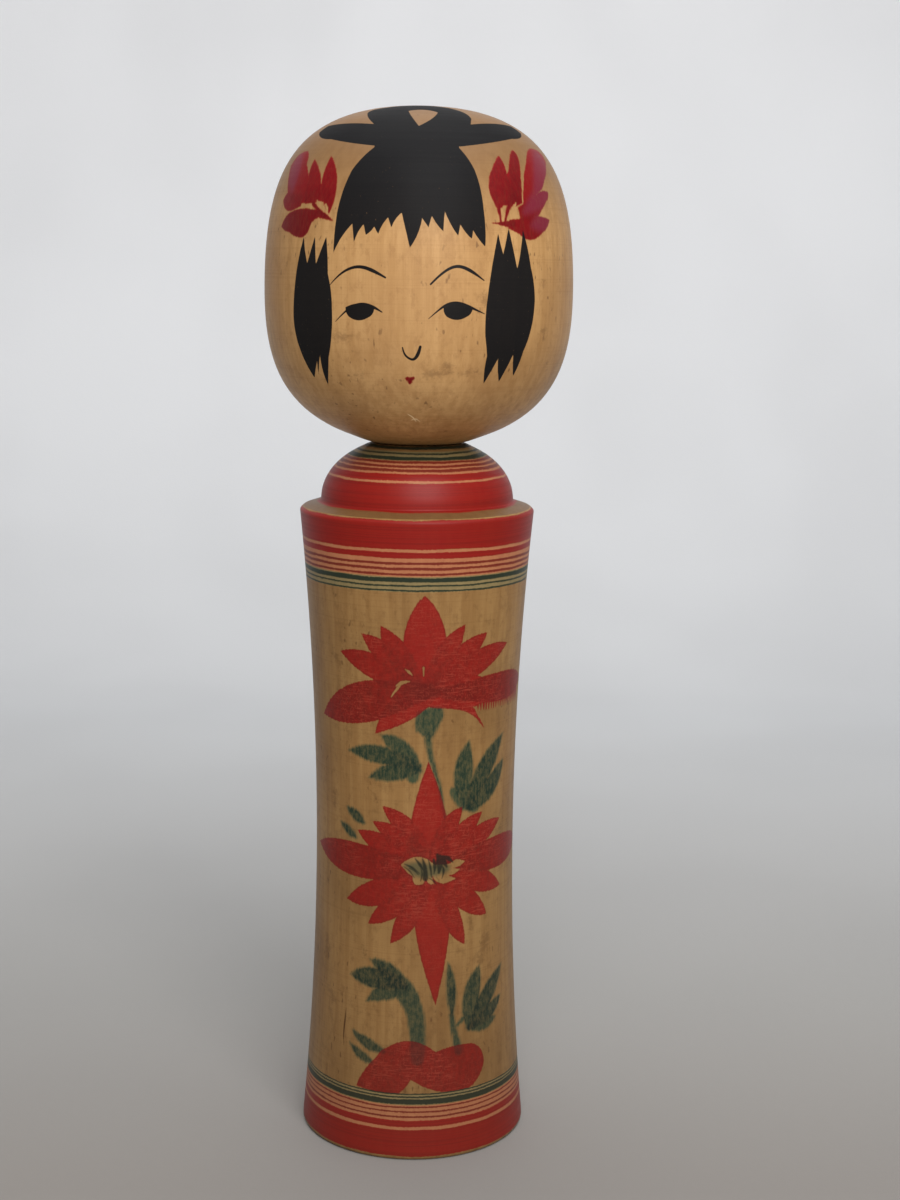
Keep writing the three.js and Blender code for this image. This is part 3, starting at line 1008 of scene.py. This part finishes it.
def add_rings(nodes, height, turned, colour):
    """The rings painted on in the lathe, a little unsteady and broken up by the grain."""
    waver = nodes.noise((0.12, 0.5), 2)
    fuzz = nodes.noise((4.5, 1.2), 3, 0.8)
    unsteady = nodes.shaken(nodes.shaken(height, waver, 0.5), fuzz, 0.75)
    masks = [rings_mask(nodes, unsteady, rings) for rings in (FOOT_RINGS, RIM_RINGS, DOME_RINGS)]
    red_tone = nodes.mix(nodes.step(turned, 0.42, 0.62, 0, 0.3), RED_THIN, RED_DEEP)
    coats = ((0.96, red_tone), (0.94, GREEN_LINE), (0.9, LINE_BROWN))
    for (cover, tone), foot, rim, dome in zip(coats, *masks):
        dyed = nodes.math("ADD", nodes.math("ADD", foot, rim), dome)
        colour = nodes.coat(colour, dyed, cover, tone)
    return colour


def body_material():
    nodes = Nodes("painted_body")
    height = nodes.add("SeparateXYZ", {0: nodes.place}, 2)
    colour, fibres, turned = bare_wood(nodes, WOOD_BODY)
    colour = nodes.mix(stains(nodes), colour, SPECK)
    for bottom, top, dye in WASHED:
        colour = nodes.mix(nodes.between(height, bottom, top, 0.5), colour, WASHES[dye])
    colour = nodes.mix(nodes.between(height, *LEDGE, 0.75), colour, LEDGE_TONE)
    colour = add_flowers(nodes, colour)
    colour = add_rings(nodes, height, turned, colour)
    colour = nodes.mix(nodes.step("crack", -0.06, 0.08, 0.9, 0), colour, SPECK)
    # painted shade: darker towards the foot, fading out higher up
    colour = nodes.mix(nodes.step(height, 0, FOOT_SHADE_TOP, 0.26, 0), colour, FOOT_SHADE)
    return finish_surface(nodes, colour, WOOD_ROUGHNESS, fibres, turned)


def head_material():
    nodes = Nodes("painted_head")
    colour, fibres, turned = bare_wood(nodes, WOOD_HEAD)
    _, forward, height = nodes.add("SeparateXYZ", {0: nodes.place}).node.outputs
    # painted highlight: paler towards the front of the face
    colour = nodes.mix(nodes.step(forward, *FACE_HIGHLIGHT_DEPTH, 0.12, 0), colour, FACE_HIGHLIGHT)
    colour = nodes.mix(nodes.step(height, *CROWN_HEIGHT, 0, 0.85), colour, CROWN_BROWN)
    colour = nodes.mix(stains(nodes), colour, SPECK)
    colour = nodes.mix(nodes.step("scratch", -0.12, 0.1, 0.85, 0), colour, SCRATCHED)
    crimson, crimson_tone = crimson_dye(nodes)
    colour = nodes.mix(crimson, colour, crimson_tone)
    black = grain_edge(nodes, "black", 0.07, 0.05)
    solid = nodes.step(nodes.noise((3.6, 1.4), 1), 0.74, 0.82, 0.99, 0.8)
    colour = nodes.coat(colour, black, solid, BLACK)
    colour = nodes.mix(nodes.step("ink", -0.07, 0.07, 0.99, 0), colour, BLACK)
    roughness = nodes.step(black, 0, 1, WOOD_ROUGHNESS, HAIR_ROUGHNESS)
    return finish_surface(nodes, colour, roughness, fibres, turned)


# --- The doll ---


def add_object(name, data):
    added = bpy.data.objects.new(name, data)
    bpy.context.scene.collection.objects.link(added)
    return added


def add_piece(node_name, order, paint, material):
    """A turned piece in place of its CAD node."""
    node = frame["nodes"][node_name]
    surface = Turning(order(node_rings(node)))
    mesh = turned_mesh("turned_" + node_name, surface, paint)
    mesh.materials.append(material)
    piece = add_object("turned_" + node_name, mesh)
    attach(piece, node["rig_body"])
    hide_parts(node_name)


add_piece("body", body_corners, body_paint, body_material())
add_piece("head", head_corners, head_paint, head_material())

# --- Where it stands ---

WALL = 0.8  # metres behind the doll
WALL_CURVE = 0.35  # the radius of the bend between floor and wall
SWEEP_FRONT, SWEEP_TOP, SWEEP_HALF = -1.6, 2, 2.5
SWEEP_STEPS = 12
CLOTH_SHADE = srgb(120, 118, 118)
CLOTH_ROUGHNESS, CLOTH_SPECULAR = 0.9, 0.1
WEAVE_RELIEF, WEAVE_STRENGTH = 0.1, 0.5
CLOTH_LIGHT_AND_SHADE = [  # painted light and shade by metres along the sheet, which count backwards from the doll: darkest on the floor by the doll, lighter up the wall
    (-1.4, srgb(242, 243, 245)),
    (-0.5, srgb(150, 146, 142)),
    (-0.04, srgb(142, 137, 132)),
    (0.08, srgb(160, 158, 155)),
    (0.43, srgb(208, 209, 210)),
    (0.95, srgb(252, 252, 253)),
]


def backdrop_material():
    nodes = Nodes("pale_cloth")
    weave = nodes.noise((0.9, 0.9), 3, 0.6)
    fold_shade = nodes.noise((0.006, 0.004), 2)
    # painted light and shade along the pale sheet
    colour = nodes.ramp("run", CLOTH_LIGHT_AND_SHADE)
    # painted shade of soft folds in the cloth
    colour = nodes.mix(nodes.step(fold_shade, 0.35, 0.7, 0, 0.08), colour, CLOTH_SHADE)
    cloth = {"Roughness": CLOTH_ROUGHNESS, "Specular IOR Level": CLOTH_SPECULAR}
    relief = nodes.bump(weave, WEAVE_RELIEF, WEAVE_STRENGTH)
    return nodes.shade({"Base Color": colour, "Normal": relief, **cloth})


def add_backdrop():
    """A pale sheet, flat under the doll and curving up behind it."""
    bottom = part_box("body")[0].z
    profile = [(SWEEP_FRONT, bottom)]
    for k in range(SWEEP_STEPS + 1):
        turn = math.pi / 2 * k / SWEEP_STEPS
        across = WALL - WALL_CURVE + WALL_CURVE * math.sin(turn)
        profile.append((across, bottom + WALL_CURVE * (1 - math.cos(turn))))
    profile.append((WALL, SWEEP_TOP))
    run = SWEEP_FRONT + np.r_[0, np.cumsum(np.hypot(*np.diff(profile, axis=0).T))]
    places = [(side * SWEEP_HALF, y, z) for y, z in profile for side in (-1, 1)]
    faces = [(2 * k, 2 * k + 1, 2 * k + 3, 2 * k + 2) for k in range(len(profile) - 1)]
    mesh = bpy.data.meshes.new("backdrop")
    mesh.from_pydata(places, [], faces)
    mesh.polygons.foreach_set("use_smooth", np.ones(len(faces), bool))
    add_layer(mesh, "run", run.repeat(2))
    mesh.materials.append(backdrop_material())
    backdrop = add_object("backdrop", mesh)


LIT_PLACE = Vector((0, 0, 0.14))  # what the lamps face
SKY_COLOUR, SKY_STRENGTH = (0.95, 0.97, 1, 1), 0.29


def add_lamp(name, place, size, power):
    lamp = bpy.data.lights.new(name, "AREA")
    lamp.shape = "RECTANGLE"
    lamp.size, lamp.size_y = size
    lamp.energy = power
    holder = add_object(name, lamp)
    holder.location = place
    holder.rotation_euler = (LIT_PLACE - Vector(place)).to_track_quat("-Z", "Y").to_euler()


def add_light():
    """Soft daylight from above, a little in front, and a plain sky all round."""
    add_lamp("window", place=(0.12, -0.6, 0.62), size=(0.5, 0.7), power=5.8)
    add_lamp("ceiling", place=(0.05, 0.05, 1.15), size=(1.2, 1), power=6.0)
    world = bpy.data.worlds.new("room")
    world.use_nodes = True
    background = world.node_tree.nodes["Background"]
    background.inputs["Color"].default_value = SKY_COLOUR
    background.inputs["Strength"].default_value = SKY_STRENGTH
    bpy.context.scene.world = world


CAMERA_PLACE = Vector((0, -0.4557, 0.2072))
CAMERA_DOWN, CAMERA_TURN, CAMERA_ROLL = (math.radians(v) for v in (9.75, 1, 0.616))
CAMERA_LENS = 58.5


def add_camera():
    camera = add_object("camera", bpy.data.cameras.new("camera"))
    camera.data.lens = CAMERA_LENS
    camera.data.clip_start = 0.01
    turn = Matrix.Rotation(-CAMERA_TURN, 4, "Z")
    tip = Matrix.Rotation(math.pi / 2 - CAMERA_DOWN, 4, "X")
    roll = Matrix.Rotation(CAMERA_ROLL, 4, "Z")
    camera.matrix_world = Matrix.Translation(CAMERA_PLACE) @ turn @ tip @ roll
    bpy.context.scene.camera = camera


add_backdrop()
add_light()
add_camera()
bpy.context.scene.view_settings.view_transform = "Standard"
